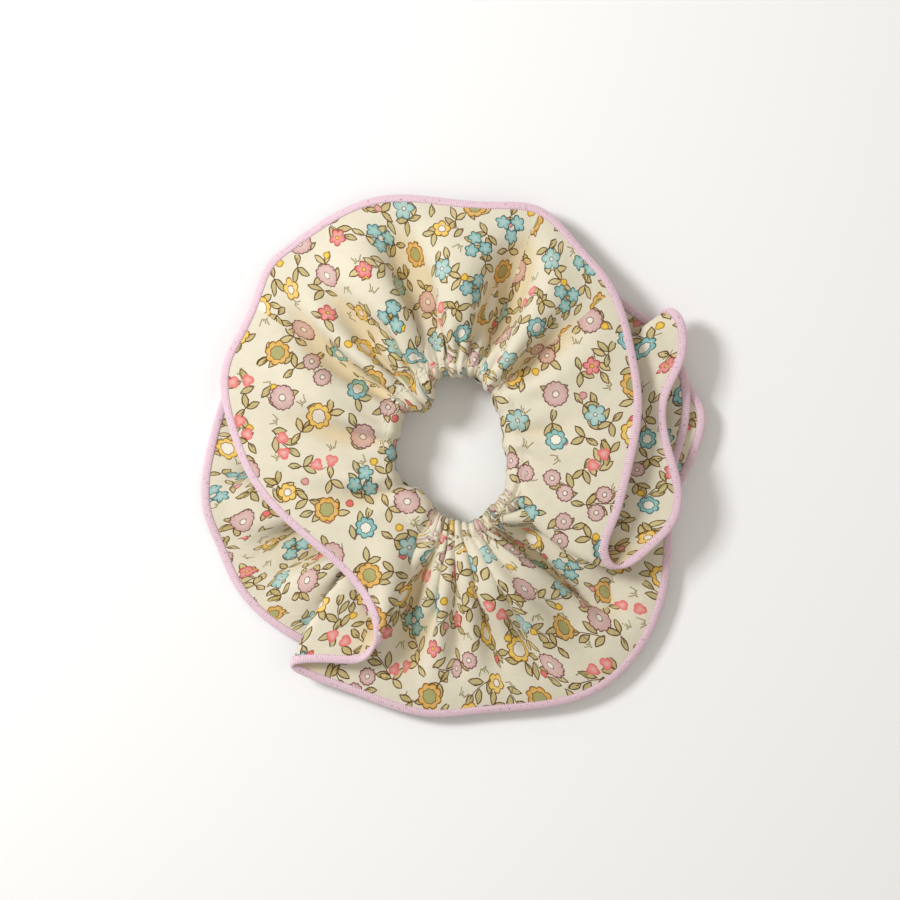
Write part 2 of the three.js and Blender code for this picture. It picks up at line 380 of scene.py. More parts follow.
# The cloth of a ruffle carried on over its half of the casing: rows round the tube, from the stitch
# row to the middle of one side, are put in front of the ruffle's own. Each pleat of the ruffle runs
# on over the tube and fades there.
def withCasing(ruffle, angle, turnStart, turnEnd):
    turns = np.radians(np.linspace(turnEnd, turnStart, casing["rows"] + 1))
    tube = casingSurface(angle[:, None] + 0 * turns, turns[None, :] + 0 * angle[:, None])
    rise = smoothRow(riseOver(ruffle, 24)[:, 3:7].mean(axis=1), 1.5)
    rise = np.clip(casing["follow"] * rise, -0.9, 1.5)
    share = np.linspace(0.45, 1, len(turns))
    tube += unit(tube - casingCentre(angle)[:, None]) * (rise[:, None] * share)[..., None]
    grid = np.concatenate([tube[:, :-1], ruffle], axis=1)
    join = casing["rows"]
    for again in range(4):
        beside = grid[:, join - 2:join + 1] + grid[:, join:join + 3]
        grid[:, join - 1:join + 2] = beside / 4 + grid[:, join - 1:join + 2] / 2
    return grid


# Where each grid point lies on the flat strip, in millimetres. Along a crest of the printed side the
# cloth runs at its own length, and what is left over goes into the valleys, where it is hidden.
def flatPlaces(grid, side):
    columns = grid.shape[0]
    own = strip["length"] / columns
    step = np.linalg.norm(np.roll(grid, -1, axis=0) - grid, axis=2)
    rise = riseOver(grid, 9) * side
    usual = np.sqrt(smoothRow(rise ** 2, 12)) + 0.02
    valley = np.exp(-1.8 * np.clip(rise / usual, -2, 2))
    walk = step + smoothRow(own - step, 8) * valley / smoothRow(valley, 8)
    walk = np.maximum(walk, 0.15 * own)
    walk *= strip["length"] / walk.sum(axis=0)
    u = np.vstack([np.zeros_like(walk[:1]), np.cumsum(walk, axis=0)])
    u -= (u - np.arange(columns + 1)[:, None] * own)[:-1].mean(axis=0)
    out = np.linalg.norm(np.diff(grid, axis=1), axis=2).mean(axis=0)
    v = np.concatenate([[0], np.cumsum(out)])
    return np.stack([u, np.broadcast_to(v - v[casing["rows"]], u.shape)], axis=2)


# The places of each face's four corners, from flat places that have one more column and row
def cornersOf(flat):
    return np.stack([flat[:-1, :-1], flat[1:, :-1], flat[1:, 1:], flat[:-1, 1:]], axis=2)


# Where each grid point of smooth cloth lies: as seen from above, and over the casing at its own
# distance round the tube, so that the print keeps its size
def planPlaces(grid):
    plan = grid[..., :2].copy()
    first = casing["rows"]
    step = np.linalg.norm(np.diff(grid[:, :first + 1], axis=1), axis=2)
    behind = np.cumsum(step[:, ::-1], axis=1)[:, ::-1, None]
    outward = unit(plan[:, first] - np.array(ring["centre"]))
    plan[:, :first] = plan[:, first:first + 1] - outward[:, None] * behind
    return np.vstack([plan, plan[:1]])


# A mesh as a smooth object of the scene, at the origin
def newPiece(name, mesh):
    mesh.shade_smooth()
    piece = bpy.data.objects.new(name, mesh)
    bpy.context.collection.objects.link(piece)
    return piece


def meshOf(name, points, faces):
    mesh = bpy.data.meshes.new(name)
    mesh.from_pydata((points.reshape(-1, 3) * mm).tolist(), [], faces)
    return mesh


# A closed skin from points[column, row] in millimetres: both ways the grid closes on itself. Maps has
# the place of each face's four corners on the flat cloth, and for cloth also in the bake map; slots
# gives each face's material.
def closedSkin(name, points, maps, slots=None):
    columns, rows = points.shape[:2]
    i, j = np.meshgrid(np.arange(columns), np.arange(rows), indexing="ij")
    nextI, nextJ = (i + 1) % columns, (j + 1) % rows
    faces = np.stack([i * rows + j, nextI * rows + j, nextI * rows + nextJ, i * rows + nextJ], axis=2)
    mesh = bpy.data.meshes.new(name)
    mesh.vertices.add(columns * rows)
    mesh.vertices.foreach_set("co", (points * mm).astype(np.float32).ravel())
    mesh.loops.add(faces.size)
    mesh.loops.foreach_set("vertex_index", faces.astype(np.int32).ravel())
    mesh.polygons.add(columns * rows)
    mesh.polygons.foreach_set("loop_start", np.arange(0, faces.size, 4, dtype=np.int32))
    if slots is not None:
        mesh.polygons.foreach_set("material_index", slots.astype(np.int32).ravel())
    mesh.update(calc_edges=True)
    for label, corners in maps.items():
        mesh.uv_layers.new(name=label).data.foreach_set("uv", corners.astype(np.float32).ravel())
    return newPiece(name, mesh)


# A bake map in which the long strip is folded into equal rows: the printed faces fill the left of
# the square and the inner faces a narrow band at its right
def foldedBakeMap(columns, rows, printed):
    folds = 4
    margin, wide, narrow = 0.004, 0.83, 0.14      # shares of the square
    i, j = np.meshgrid(np.arange(columns), np.arange(rows), indexing="ij")
    perFold = columns // folds
    fold, place = i // perFold, i % perFold
    half = rows // 2
    depth = np.where(j < half, j, rows - 1 - j)
    nearer = np.where(j < half, 1, -1)
    x = np.stack([place, place + 1, place + 1, place], axis=2) / perFold
    y = np.stack([depth, depth, depth + nearer, depth + nearer], axis=2) / half
    y = np.clip(y, 0, 1)
    x = np.where(printed[..., None], margin + x * (wide - margin), wide + 2 * margin + x * narrow)
    y = (fold[..., None] + margin * folds + y * (1 - 2 * margin * folds)) / folds
    return np.stack([x, y], axis=3)


# One ply of a ruffle as a closed skin: its upper face stands high and its lower face low along the
# normal that points to the hair side, and printedUp says which of the two carries the print. The
# print is shifted by columns, and smooth columns take it as seen from above. The attribute "fold" is
# how deep a point lies in a fold: its depth under the smoothed surface less 0.4 mm, over 1.8 mm;
# the printed lawn paints warm shade into its colour by it.
def clothPly(name, grid, high, low, printedUp, shift, smooth):
    normal = normalsOf(grid)
    rows = grid.shape[1]
    side = 1 if printedUp else -1
    points = np.concatenate([grid + normal * high, (grid + normal * low)[:, ::-1]], axis=1)
    corners = []
    for flat in (flatPlaces(grid, side), planPlaces(grid)):
        corners.append(cornersOf(np.concatenate([flat, flat[:, ::-1], flat[:, :1]], axis=1)))
    corners = np.where(smooth[:, None, None, None], corners[1], corners[0] + shift[:, None, None, :])
    face = np.broadcast_to(np.arange(2 * rows)[None, :], (grid.shape[0], 2 * rows))
    printed = face < rows if printedUp else face >= rows - 1
    maps = {"cloth": corners * mm, "OFBake": foldedBakeMap(grid.shape[0], 2 * rows, printed)}
    piece = closedSkin(name, points, maps, np.where(printed, 0, 1))
    # How deep each point lies in a fold, which the printed lawn uses to paint shade
    depth = np.clip(-0.2 - riseOver(grid, 12) * side / 1.8, 0, 1)
    depth = np.concatenate([depth, depth[:, ::-1]], axis=1).astype(np.float32)
    piece.data.attributes.new("fold", "FLOAT", "POINT").data.foreach_set("value", depth.ravel())
    return piece


# The print jumps where two lengths of cloth meet: how far the faces of each column are shifted on
# the flat cloth, between the cross seams at the two angles
def printShift(angle, length, seamTop, seamLeft, jump):
    degrees = np.degrees(angle) % 360
    between = (degrees > seamTop) & (degrees < seamLeft)
    shift = np.zeros((len(angle), 2))
    shift[between] = jump
    past = np.arange(len(angle)) < np.argmax(between != between[0])
    shift[past & ~between] += (length, 0)
    return shift


# A rod along a closed path: the section's across and up (one row for each sample) are measured in
# the path's own frame, and the skin closes round the section
def rod(name, path, across, up, section, pitch):
    points = path[:, None] + across[:, None] * section[..., :1] + up[:, None] * section[..., 1:]
    columns, rows = points.shape[:2]
    u = np.arange(columns + 1) * pitch
    v = np.arange(rows + 1) / rows * overlock["round"]
    flat = np.stack(np.meshgrid(u, v, indexing="ij"), axis=2)
    return closedSkin(name, points, {"cloth": cornersOf(flat) * mm})


# The overlock thread along a ruffle's edge, in millimetres; round is the length that the flat map
# gives to the section
overlock = {"width": 2.6, "height": 1.25, "outside": 0.35, "pitch": 0.72, "samples": 4, "ridge": 0.12,
            "slant": 0.4, "points": 12, "round": 10}


# An oval's sine or cosine, a little squared
def blunt(wave):
    return np.sign(wave) * np.abs(wave) ** 0.8


# Thread wound over the edge: an oval section carried along the ruffle's last row, with a ridge for
# each turn of thread that leans a little across the width
def overlockEdge(name, grid):
    edge = grid[:, -1]
    along = smoothRow(np.roll(edge, -1, axis=0) - np.roll(edge, 1, axis=0), 1.5)
    up = smoothRow(normalsOf(grid)[:, -3:].mean(axis=1), 1.5)
    outward = np.cross(up, along)
    outward *= np.sign((outward * (grid[:, -1] - grid[:, -4])).sum(axis=1))[:, None]
    length = np.linalg.norm(np.roll(edge, -1, axis=0) - edge, axis=1).sum()
    turns = int(length / overlock["pitch"])
    both, length = evenAlong(np.hstack([edge, outward, up]), turns * overlock["samples"])
    path, outward, up = both[:, :3], both[:, 3:6], both[:, 6:]
    phi = -np.arange(overlock["points"]) / overlock["points"] * 2 * np.pi
    lean = np.arange(len(path))[:, None] / overlock["samples"] + overlock["slant"] * np.cos(phi)
    ridge = overlock["ridge"] * np.abs(np.sin(np.pi * lean))
    half = overlock["width"] / 2
    across = overlock["outside"] - half + (half + ridge) * blunt(np.cos(phi))
    height = (overlock["height"] / 2 + ridge) * blunt(np.sin(phi))
    section = np.stack(np.broadcast_arrays(across, height), axis=2)
    return rod(name, path, unit(outward), unit(up), section, length / len(path))


# Stitches as small closed capsules: one for each centre, as long as its run, all of one thickness
def stitches(name, centres, runs, thick):
    rings, sides = 5, 8
    a = np.pi * np.arange(1, rings + 1) / (rings + 1)
    b = 2 * np.pi * np.arange(sides) / sides
    radius = thick / 2 * np.sqrt(np.sin(a))[:, None]
    shape = np.stack(np.broadcast_arrays(-np.cos(a)[:, None] / 2, radius * np.cos(b),
                                         radius * np.sin(b)), axis=2)
    shape = np.vstack([[(-0.5, 0, 0)], shape.reshape(-1, 3), [(0.5, 0, 0)]])
    slantwise = (0.31, 0.17, 0.93)      # along none of the runs
    first = unit(np.cross(runs, slantwise))
    second = unit(np.cross(runs, first))
    points = (centres[:, None] + runs[:, None] * shape[None, :, :1]
              + first[:, None] * shape[None, :, 1:2] + second[:, None] * shape[None, :, 2:])
    k, m = np.meshgrid(np.arange(rings - 1), np.arange(sides), indexing="ij")
    near, far = 1 + k * sides, 1 + (k + 1) * sides
    quads = np.stack([near + m, near + (m + 1) % sides, far + (m + 1) % sides, far + m], axis=2)
    m, last = np.arange(sides), 1 + (rings - 1) * sides
    fans = np.vstack([np.stack([0 * m, 1 + (m + 1) % sides, 1 + m], axis=1),
                      np.stack([0 * m + len(shape) - 1, last + m, last + (m + 1) % sides], axis=1)])
    base = np.arange(len(centres))[:, None, None] * len(shape)
    faces = (quads.reshape(1, -1, 4) + base).reshape(-1, 4).tolist()
    faces += (fans[None] + base).reshape(-1, 3).tolist()
    return newPiece(name, meshOf(name, points, faces))


# A row of running stitches round the casing, where its two plies are sewn together: they lie on the
# cloth of the casing's last row, at even angles round the ring
def casingRow(name, whole, angle, length, thick):
    turned = np.abs(angle - angle[0])
    places = (np.arange(casing["stitches"]) + 0.5) / casing["stitches"] * 2 * np.pi
    columns = np.searchsorted(turned, places) % len(angle)
    row = casing["rows"]
    outwards = unit(whole[:, row] - casingCentre(angle))
    centres = (whole[:, row] + outwards * (strip["ply"] + strip["gap"] / 2 + 0.1))[columns]
    runs = (np.roll(whole[:, row], -2, axis=0) - np.roll(whole[:, row], 2, axis=0))[columns]
    return stitches(name, centres, unit(runs) * length, thick)


# The line in the middle of the casing's tube
def casingCentre(angle):
    return ringPlace(angle, 0, casing["middle"])


# The elastic in the casing: width stands upright; inset is its middle's distance towards the hair
# hole from the tube's centre line; the lapped end and its zigzag lie outside it
elastic = {"width": 6, "thickness": 0.8, "inset": 0.9, "ribs": 9, "rib": 0.06, "samples": 420,
           "lap": 12, "lapAngle": 203, "clearance": 0.25, "zigs": 10, "zigHeight": 2.2, "thread": 0.35}


# A place on the upright band round the ring: out from the tube's centre line and up, in millimetres
def onBand(angle, out, up):
    return ringPlace(angle, out, casing["middle"] + up)


# The flat band: a thin upright section carried round the ring, grooved by its lengthwise ribs
def elasticBand(name):
    angle = np.arange(elastic["samples"]) / elastic["samples"] * 2 * np.pi
    ribs = 2 * elastic["ribs"]
    rise = np.linspace(-0.5, 0.5, ribs) * elastic["width"]
    groove = elastic["rib"] * (np.arange(ribs) % 2)
    half = elastic["thickness"] / 2
    out = np.concatenate([half - groove, -half + groove]) - elastic["inset"]
    up = np.concatenate([rise, rise[::-1]])
    return closedSkin(name, onBand(angle[:, None] + 0 * out, out[None, :], up[None, :]), {})


# The elastic's other end, lapped on the first: a curved patch that is given the band's thickness
def lappedEnd(name):
    out = elastic["thickness"] + elastic["clearance"] - elastic["inset"]
    half = elastic["lap"] / 2 / ring["across"]
    columns, rows = 25, 9
    angle = np.radians(elastic["lapAngle"]) + np.linspace(-half, half, columns)
    up = np.linspace(-0.5, 0.5, rows) * (elastic["width"] - 0.3)
    points = onBand(angle[:, None] + 0 * up, out, up[None, :])
    i, j = np.meshgrid(np.arange(columns - 1), np.arange(rows - 1), indexing="ij")
    first = i * rows + j
    faces = np.stack([first, first + rows, first + rows + 1, first + 1], axis=2)
    piece = newPiece(name, meshOf(name, points, faces.reshape(-1, 4).tolist()))
    wall = piece.modifiers.new("band thickness", "SOLIDIFY")
    wall.thickness = (elastic["thickness"] - 0.1) * mm
    wall.offset = 0
    return piece


# The zigzag that joins the ends, sewn over twice, so that its legs cross
def elasticZigzag(name):
    out = elastic["thickness"] * 1.5 + elastic["clearance"] + elastic["thread"] / 2 - elastic["inset"]
    half = (elastic["lap"] / 2 - 1) / ring["across"]
    turn = np.radians(elastic["lapAngle"]) + np.linspace(-half, half, elastic["zigs"] + 1)
    level = elastic["zigHeight"] * (1 - 2 * (np.arange(elastic["zigs"] + 1) % 2))
    legs = []
    for side in (1, -1):
        corner = onBand(turn, out + 0.25 * (side < 0), side * level)
        legs.append(np.stack([corner[:-1], corner[1:]], axis=1))
    legs = np.concatenate(legs)
    return stitches(name, legs.mean(axis=1), legs[:, 1] - legs[:, 0], elastic["thread"])


# The stitches of a cross seam between the two plies, up both ruffles along one column of each
def crossSeam(name, ruffles, angleDegrees, offset):
    centres, runs = [], []
    for grid, angle in ruffles:
        column = int(np.argmin(np.abs(degreesFrom(angle, angleDegrees))))
        line = (grid + normalsOf(grid) * offset)[column]
        centres.append((line[1:-2] + line[2:-1]) / 2)
        runs.append((line[2:-1] - line[1:-2]) * 0.75)
    return stitches(name, np.concatenate(centres), np.concatenate(runs), 0.22)


# A colour as it is seen (0 to 255) turned to the linear values that a shader reads
def seen(red, green, blue):
    share = np.array([red, green, blue]) / 255
    linear = np.where(share <= 0.04045, share / 12.92, ((share + 0.055) / 1.055) ** 2.4)
    return (*linear.tolist(), 1)


# The output of a shader node. Sums of such values are written as sums, and each makes a Math node.
class Value:
    def __init__(self, socket):
        self.socket = socket

    def __add__(self, other):
        return calc("ADD", self, other)

    def __radd__(self, other):
        return calc("ADD", other, self)

    def __sub__(self, other):
        return calc("SUBTRACT", self, other)

    def __rsub__(self, other):
        return calc("SUBTRACT", other, self)

    def __mul__(self, other):
        return calc("MULTIPLY", self, other)

    def __rmul__(self, other):
        return calc("MULTIPLY", other, self)

    def __truediv__(self, other):
        return calc("DIVIDE", self, other)

    def __rtruediv__(self, other):
        return calc("DIVIDE", other, self)

    def __lt__(self, other):
        return calc("LESS_THAN", self, other)

    def __gt__(self, other):
        return calc("GREATER_THAN", self, other)

    def __abs__(self):
        return calc("ABSOLUTE", self)


# Puts values or plain numbers into sockets, in order; None leaves a socket as it is
def feed(sockets, values):
    for socket, value in zip(sockets, values):
        if isinstance(value, Value):
            socket.id_data.links.new(value.socket, socket)
        elif value is not None:
            socket.default_value = value


def treeOf(values):
    return next(value.socket.id_data for value in values if isinstance(value, Value))


# A node in the same tree as the values that feed its inputs
def newNode(kind, *values, **settings):
    node = treeOf(values).nodes.new(kind)
    for setting, choice in settings.items():
        setattr(node, setting, choice)
    feed(node.inputs, values)
    return node


def calc(operation, *values, clamp=False):
    return Value(newNode("ShaderNodeMath", *values, operation=operation, use_clamp=clamp).outputs[0])


def vectorCalc(operation, *values):
    return Value(newNode("ShaderNodeVectorMath", *values, operation=operation).outputs[0])


def scaled(vector, factor):
    return vectorCalc("SCALE", vector, None, None, factor)


# A place turned round Z by an angle
def turnedBy(vector, angle):
    node = newNode("ShaderNodeVectorRotate", vector, None, None, angle, rotation_type="Z_AXIS")
    return Value(node.outputs[0])


def split(vector):
    return [Value(output) for output in newNode("ShaderNodeSeparateXYZ", vector).outputs]


def join(x, y, z=0.0):
    return Value(newNode("ShaderNodeCombineXYZ", x, y, z).outputs[0])


def noise(place, scale, detail, output=0):
    return Value(newNode("ShaderNodeTexNoise", place, None, scale, detail).outputs[output])


def reachOf(x, y):
    return calc("SQRT", x * x + y * y)


# The mask of what is nearer than zero: one where distance is well below zero, softened over 0.14 mm
def inside(distance):
    return calc("MULTIPLY_ADD", distance, -7, 0.5, clamp=True)


# A drawn line of a given half width where distance is about zero
def line(distance, half):
    return inside(abs(distance) - half)


def most(*masks):
    total = masks[0]
    for mask in masks[1:]:
        total = calc("MAXIMUM", total, mask)
    return total


# The colour below, covered by the one above as far as the factor says
def blendColour(factor, below, above):
    unused = [None] * 5      # the mix node's inputs for numbers and vectors
    return Value(newNode("ShaderNodeMix", factor, *unused, below, above, data_type="RGBA").outputs[2])


# One of several colours, each over an equal share of the value from 0 to 1
def choose(value, colours):
    node = newNode("ShaderNodeValToRGB", value)
    ramp = node.color_ramp
    ramp.interpolation = "CONSTANT"
    while len(ramp.elements) < len(colours):
        ramp.elements.new(0.5)
    for k, colour in enumerate(colours):
        ramp.elements[k].position = k / len(colours)
        ramp.elements[k].color = (*colour[:3], 1)
    return Value(node.outputs[0])


# The sockets of a node group that aren't plain numbers
socketKinds = {"Place": "Vector", "Local": "Vector", "Middle": "Vector", "Color": "Color"}


# A node group with its inputs (each with its value) and outputs: gives the values that come in, and
# the sockets that the results go to
def newGroup(name, inputs, outputs):
    tree = bpy.data.node_groups.new(name, "ShaderNodeTree")
    for label, value in inputs.items():
        kind = "NodeSocket" + socketKinds.get(label, "Float")
        socket = tree.interface.new_socket(label, in_out="INPUT", socket_type=kind)
        if value is not None:
            socket.default_value = value
    for label in outputs:
        kind = "NodeSocket" + socketKinds.get(label, "Float")
        tree.interface.new_socket(label, in_out="OUTPUT", socket_type=kind)
    source = tree.nodes.new("NodeGroupInput").outputs
    sink = tree.nodes.new("NodeGroupOutput").inputs
    return {socket.name: Value(socket) for socket in source}, sink


# Puts a group into a tree with its inputs by name, and gives its outputs by name
def useGroup(group, **values):
    node = treeOf(values.values()).nodes.new("ShaderNodeGroup")
    node.node_tree = bpy.data.node_groups[group]
    feed([node.inputs[label] for label in values], values.values())
    return {output.name: Value(output) for output in node.outputs}


# Cells of the cloth in staggered rows, each turned at random: the place within a cell, measured from
# a middle that strays from the cell's own, and random values that choose what is printed there
def makeScatteredCells():
    source, sink = newGroup("scatteredCells", {"Place": None, "Size": 10.0, "Seed": 0.0, "Stray": 0.1},
                            ("Local", "Kind", "Chance", "Tint"))
    x, y, _ = split(source["Place"])
    high = source["Size"] * 0.9
    row = y / high
    rowNumber = calc("FLOOR", row)
    column = x / source["Size"] + rowNumber * 0.5
    columnNumber = calc("FLOOR", column)
    white = newNode("ShaderNodeTexWhiteNoise", join(columnNumber, rowNumber, source["Seed"]))
    red, green, blue = split(Value(white.outputs["Color"]))
    localX = (column - columnNumber - 0.5 - (red - 0.5) * source["Stray"]) * source["Size"]
    localY = (row - rowNumber - 0.5 - (green - 0.5) * source["Stray"]) * high
    feed(sink, (turnedBy(join(localX, localY), blue * (2 * math.pi)), Value(white.outputs["Value"]),
                calc("FRACT", red * 17.3), calc("FRACT", green * 23.7)))


# A drawn flower head, or several in a ring: the distance from the middle is compared with a radius
# that swells once for each petal, and a second ring draws the eye
def makeFlowerHead():
    source, sink = newGroup("flowerHead",
                            {"Local": None, "Copies": 1.0, "Spread": 0.0, "Radius": 3.0, "Petals": 5.0,
                             "Depth": 0.2, "Eye": 0.0}, ("Body", "Line", "Eye", "Reach"))
    x, y, _ = split(source["Local"])
    reach = reachOf(x, y)
    share = 2 * math.pi / source["Copies"]
    half = share * 0.5
    folded = calc("FLOORED_MODULO", calc("ARCTAN2", y, x) + half, share) - half
    x = reach * calc("COSINE", folded) - source["Spread"]
    y = reach * calc("SINE", folded)
    reach = reachOf(x, y)
    angle = calc("ARCTAN2", y, x)
    wave = abs(calc("COSINE", angle * (source["Petals"] * 0.5)))
    radius = source["Radius"] * (1 - source["Depth"] * (1 - calc("POWER", wave, 0.7)))
    distance = reach - radius
    eyeDistance = reach - source["Eye"] + calc("SINE", angle * 8) * 0.1
    hasEye = source["Eye"] > 0.3
    outline = most(line(distance + 0.14, 0.19), line(eyeDistance, 0.13) * hasEye)
    feed(sink, (inside(distance), outline, inside(eyeDistance) * hasEye,
                calc("DIVIDE", reach, radius, clamp=True)))


# A leaf: two arcs that meet at its tips, filled and outlined, placed and turned on its sprig
def makeLeaf():
    source, sink = newGroup("leaf", {"Local": None, "Middle": None, "Turn": 0.0, "Length": 4.0,
                                     "Width": 1.8}, ("Body", "Line"))
    moved = vectorCalc("SUBTRACT", source["Local"], source["Middle"])
    x, y, _ = split(turnedBy(moved, source["Turn"] * -1))
    run = x * 2 / source["Length"]
    distance = abs(y) - source["Width"] * 0.5 * (1 - run * run)
    near = abs(run) < 1.12
    feed(sink, (inside(distance) * near, line(distance, 0.19) * near))


# The sprigs: where the stem starts and ends, then each leaf's middle, turn, length and width
sprigs = {
    "longSprig": (-4.6, 4.2, [((-3.3, 1.9, 0), 0.8, 4.5, 1.9), ((-1.0, -1.8, 0), -0.7, 4.8, 2.0),
                              ((1.3, 1.8, 0), 0.65, 4.6, 1.9), ((4.5, 0.7, 0), 0.2, 4.3, 1.9)]),
    "leafPair": (-2.4, 1.6, [((1.8, 1.5, 0), 0.75, 4.5, 1.9), ((2.0, -1.3, 0), -0.55, 4.3, 1.8),
                             ((-2.4, 0.5, 0), -0.2, 4.0, 1.7)]),
}


# A sprig: leaves set along a stem that is bowed like a shallow parabola
def makeSprig(name, stemStart, stemEnd, leaves):
    source, sink = newGroup(name, {"Local": None}, ("Body", "Line"))
    x, y, _ = split(source["Local"])
    along = abs(x - (stemStart + stemEnd) / 2) < (stemEnd - stemStart) / 2
    stem = line(y - x * x * 0.035, 0.14) * along
    drawn = [useGroup("leaf", Local=source["Local"], Middle=middle, Turn=turn, Length=length, Width=width)
             for middle, turn, length, width in leaves]
    feed(sink, (most(*[leaf["Body"] for leaf in drawn]), most(stem, *[leaf["Line"] for leaf in drawn])))


# A tuft of grass: short strokes that fan out from one point, each of its own length
def makeGrassTuft():
    source, sink = newGroup("grassTuft", {"Local": None}, ("Stroke",))
    step = 0.3               # between the strokes, in radians
    x, y, _ = split(source["Local"])
    y = y + 2.2
    angle = calc("ARCTAN2", x, y)
    reach = reachOf(x, y)
    number = calc("ROUND", angle / step)
    long = 2.7 + calc("SINE", number * 4.1)
    span = (reach < long) * (reach > 1.2)
    feed(sink, (line((angle - number * step) * reach, 0.15) * ((abs(angle) < 0.8) * span),))


# The inks, as they are seen on the cloth
inks = {
    "ground": seen(224, 217, 196), "leaf": seen(166, 150, 84), "leafPale": seen(204, 186, 124),
    "leafLine": seen(92, 62, 26), "grass": seen(132, 120, 58), "yellow": seen(236, 196, 76),
    "gold": seen(218, 168, 66), "amberLine": seen(132, 84, 30), "blue": seen(122, 186, 186),
    "paleBlue": seen(150, 194, 190), "blueLine": seen(66, 92, 96), "mauve": seen(206, 166, 162),
    "mauveLine": seen(116, 74, 70), "coral": seen(226, 114, 112), "coralLine": seen(160, 62, 66),
    "white": seen(236, 230, 216), "olive": seen(170, 168, 112), "pinkDot": seen(220, 160, 160),
}

# The flower heads that the print is made of. For each: radius, petals, depth, copies, spread, eye,
# then its fill, line and eye inks
flowers = [
    (3.9, 8, 0.2, 1, 0.0, 2.1, "yellow", "amberLine", "white"),
    (2.7, 11, 0.14, 2, 2.95, 0.7, "mauve", "mauveLine", "white"),
    (3.3, 7, 0.24, 1, 0.0, 1.6, "blue", "blueLine", "white"),
    (2.4, 5, 0.42, 3, 2.7, 0.0, "blue", "blueLine", "blue"),
    (2.8, 5, 0.46, 1, 0.0, 0.6, "coral", "coralLine", "yellow"),
    (3.9, 8, 0.2, 1, 0.0, 2.1, "gold", "amberLine", "olive"),
    (1.9, 3, 0.34, 2, 2.3, 0.0, "coral", "coral", "coral"),
    (3.5, 5, 0.5, 1, 0.0, 0.6, "paleBlue", "blueLine", "white"),
    (3.9, 13, 0.12, 1, 0.0, 1.0, "mauve", "mauveLine", "white"),
    (3.0, 5, 0.34, 1, 0.0, 1.1, "yellow", "amberLine", "white"),
]

# How the print is laid out. It is turned on the strip and drawn with a slightly unsteady hand; each
# kind of motif has its cells' size, their seed, how far it strays, and the share of cells it is in.
printLayout = {
    "turn": 0.44, "unsteady": 0.5,
    "foliage": (("longSprig", 13.6, 3.0, 0.16, 0.72), ("leafPair", 9.6, 11.0, 0.16, 0.68)),
    "buds": (8.2, 29.0, 0.2, 0.24), "heads": (13.4, 5.0, 0.1),
}


# The floral print over the whole cloth: sprigs, grass and buds lie under the flower heads, each on its
# own scattered cells. Ink tells how much is printed at a place.
def makeFloralPrint():
    source, sink = newGroup("floralPrint", {"Place": None}, ("Color", "Ink"))
    wobble = noise(source["Place"], 0.7, 1.0, "Color")
    unsteady = printLayout["unsteady"]
    place = vectorCalc("MULTIPLY_ADD", wobble, (unsteady, unsteady, 0),
                       turnedBy(source["Place"], printLayout["turn"]))
    wash = noise(source["Place"], 0.55, 2.0)
    colour, inked = inks["ground"], 0.0

    for shape, size, seed, stray, share in printLayout["foliage"]:
        cells = useGroup("scatteredCells", Place=place, Size=size, Seed=seed, Stray=stray)
        here = cells["Chance"] < share
        drawing = useGroup(shape, Local=cells["Local"])
        body, outline = drawing["Body"] * here, drawing["Line"] * here
        blade = useGroup("grassTuft", Local=cells["Local"])["Stroke"] * (1 - here)
        green = choose(cells["Tint"], [inks["leaf"], inks["olive"], inks["leafPale"], inks["leaf"]])
        colour = blendColour(body * 0.85, colour, blendColour(wash, green, inks["leafPale"]))
        colour = blendColour(outline, colour, inks["leafLine"])
        colour = blendColour(blade, colour, inks["grass"])
        inked = most(inked, body, outline, blade)

    size, seed, stray, share = printLayout["buds"]
    cells = useGroup("scatteredCells", Place=place, Size=size, Seed=seed, Stray=stray)
    here = cells["Chance"] < share
    bud = useGroup("flowerHead", Local=cells["Local"], Radius=1.25, Petals=3.0, Depth=0.16)
    budBody = bud["Body"] * here
    budInk = choose(cells["Tint"], [inks["yellow"], inks["coral"], inks["pinkDot"], inks["yellow"]])
    colour = blendColour(budBody, colour, budInk)
    colour = blendColour(bud["Line"] * here * 0.7, colour, inks["amberLine"])

    size, seed, stray = printLayout["heads"]
    cells = useGroup("scatteredCells", Place=place, Size=size, Seed=seed, Stray=stray)
    kind = cells["Kind"]
    most5, most16, most4 = 5, 16, 4      # so that radius, petals and copies fit a colour's 0 to 1
    radius, petals, depth = split(choose(kind, [(f[0] / most5, f[1] / most16, f[2]) for f in flowers]))
    copies, spread, eye = split(choose(kind, [(f[3] / most4, f[4] / most5, f[5] / most5) for f in flowers]))
    head = useGroup("flowerHead", Local=cells["Local"], Radius=radius * most5,
                    Petals=calc("ROUND", petals * most16), Depth=depth,
                    Copies=calc("ROUND", copies * most4), Spread=spread * most5, Eye=eye * most5)
    fill, outline, eyeInk = [choose(kind, [inks[f[k]] for f in flowers]) for k in (6, 7, 8)]
    pale = calc("ADD", (1 - head["Reach"]) * 0.75, (wash - 0.5) * 0.8, clamp=True)
    colour = blendColour(head["Body"], colour, blendColour(pale * 0.6, fill, inks["white"]))
    colour = blendColour(head["Eye"], colour, eyeInk)
    colour = blendColour(head["Line"], colour, outline)
    feed(sink, (colour, most(inked, budBody, head["Body"])))


# Fine plain weave: warp and weft cross over and under, with slubs and a broad crumple. Height is for
# the bump and Tint for the colour.
def makeLawnWeave():
    source, sink = newGroup("lawnWeave", {"Place": None, "Yarn": 0.3}, ("Height", "Tint"))
    x, y, _ = split(source["Place"])
    rate = math.pi / source["Yarn"]
    over = calc("SINE", x * rate) * calc("SINE", y * rate)
    slub = noise(join(x * 0.25, y * 3.0), 1.0, 1.0)
    crumple = noise(source["Place"], 0.11, 3.0)
    cloud = noise(source["Place"], 0.35, 3.0)
    feed(sink, (over * 0.35 + slub + crumple * 21, cloud * 0.5 + slub * 0.5))
